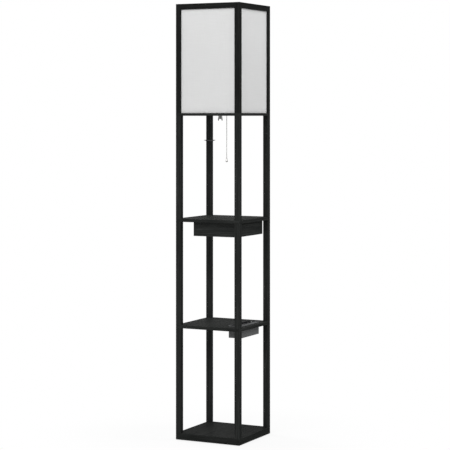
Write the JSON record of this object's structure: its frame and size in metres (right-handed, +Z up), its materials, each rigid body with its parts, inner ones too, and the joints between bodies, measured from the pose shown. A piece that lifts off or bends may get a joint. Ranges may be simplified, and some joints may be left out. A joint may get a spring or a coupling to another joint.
{
  "type": "shelf floor lamp",
  "caption": "Tall square floor lamp with a fabric shade over open shelves, a shallow drawer and a charging station.",
  "frame": {"origin": "on the floor, under the middle of the square base", "axes": "+Z up, -Y to the front where the drawer opens, +X to the right seen from the front"},
  "size_m": [0.26, 0.26, 1.6],
  "materials": {
    "black_foil": "satin black wood-grain foil on board",
    "beech": "bare turned dowel",
    "linen": "plain woven off-white fabric on a translucent sheet",
    "felt": "pressed felt",
    "zinc_steel": "zinc plated, satin",
    "black_zinc": "black zinc plated, satin",
    "brass": "bare, satin",
    "socket_metal": "satin black",
    "socket_insulator": "matt moulded",
    "nickel": "bright nickel plate",
    "bulb_base": "rolled, satin",
    "bulb_white": "white, matt",
    "bulb_frost": "frosted, translucent",
    "runner_plastic": "smooth, matt",
    "station_grey": "dark grey, fine texture",
    "insert_black": "black, fine texture",
    "tongue_white": "white, gloss",
    "board_green": "lacquered circuit board",
    "black_rubber": "matt",
    "cleat_grey": "dark grey, matt"
  },
  "bodies": {
    "frame": {"bar_screws": "zinc_steel", "base_board": "black_foil", "base_bolts": "zinc_steel", "bulb_cap": "bulb_base", "bulb_globe": "bulb_frost", "bulb_housing": "bulb_white", "centre_contact": "brass", "chain_guide": "nickel", "charging_shelf": "black_foil", "circuit_board": "board_green", "cord_cleat": "cleat_grey", "drawer_runner_left": "runner_plastic", "drawer_runner_right": "runner_plastic", "drawer_shelf": "black_foil", "drawer_stops": "zinc_steel", "face_plate": "station_grey", "foot_pads": "felt", "frame_dowels": "beech", "inlet_bushing": "black_rubber", "joint_studs": "zinc_steel", "lower_posts": "black_foil", "middle_posts": "black_foil", "outlet_insert": "insert_black", "plate_screws": "zinc_steel", "post_inserts": "brass", "ring_long_rails": "black_foil", "ring_short_rails": "black_foil", "runner_screws": "zinc_steel", "screw_sleeve": "brass", "shade_panel_front": "linen", "shade_panel_left": "linen", "shade_panel_rear": "linen", "shade_panel_right": "linen", "shade_post_front_left": "black_foil", "shade_post_front_right": "black_foil", "shade_post_rear_left": "black_foil", "shade_post_rear_right": "black_foil", "socket_bar": "zinc_steel", "socket_cap": "socket_metal", "socket_shell": "socket_metal", "station_grommet": "black_rubber", "station_housing": "station_grey", "switch_block": "socket_insulator", "threaded_tube": "zinc_steel", "top_rails": "black_foil", "tube_nut": "zinc_steel", "upper_posts": "black_foil", "usb_shells": "zinc_steel", "usb_tongues": "tongue_white", "wing_nut": "black_zinc"},
    "drawer": {"drawer_front": "black_foil", "drawer_side_left": "black_foil", "drawer_side_right": "black_foil", "drawer_back": "black_foil", "drawer_bottom": "black_foil", "drawer_dowels": "beech", "drawer_screws": "zinc_steel"},
    "chain": {"pull_chain": "nickel", "pull_bell": "nickel"}
  },
  "joints": [
    {"name": "drawer_slide", "type": "slide", "parent": "frame", "child": "drawer", "axis": [0, -1, 0], "range_m": [0, 0.1]},
    {"name": "chain_pull", "type": "slide", "parent": "frame", "child": "chain", "axis": [0, 0, -1], "range_m": [0, 0.008], "stiffness_N_per_m": 600, "springref_m": -0.005}
  ]
}
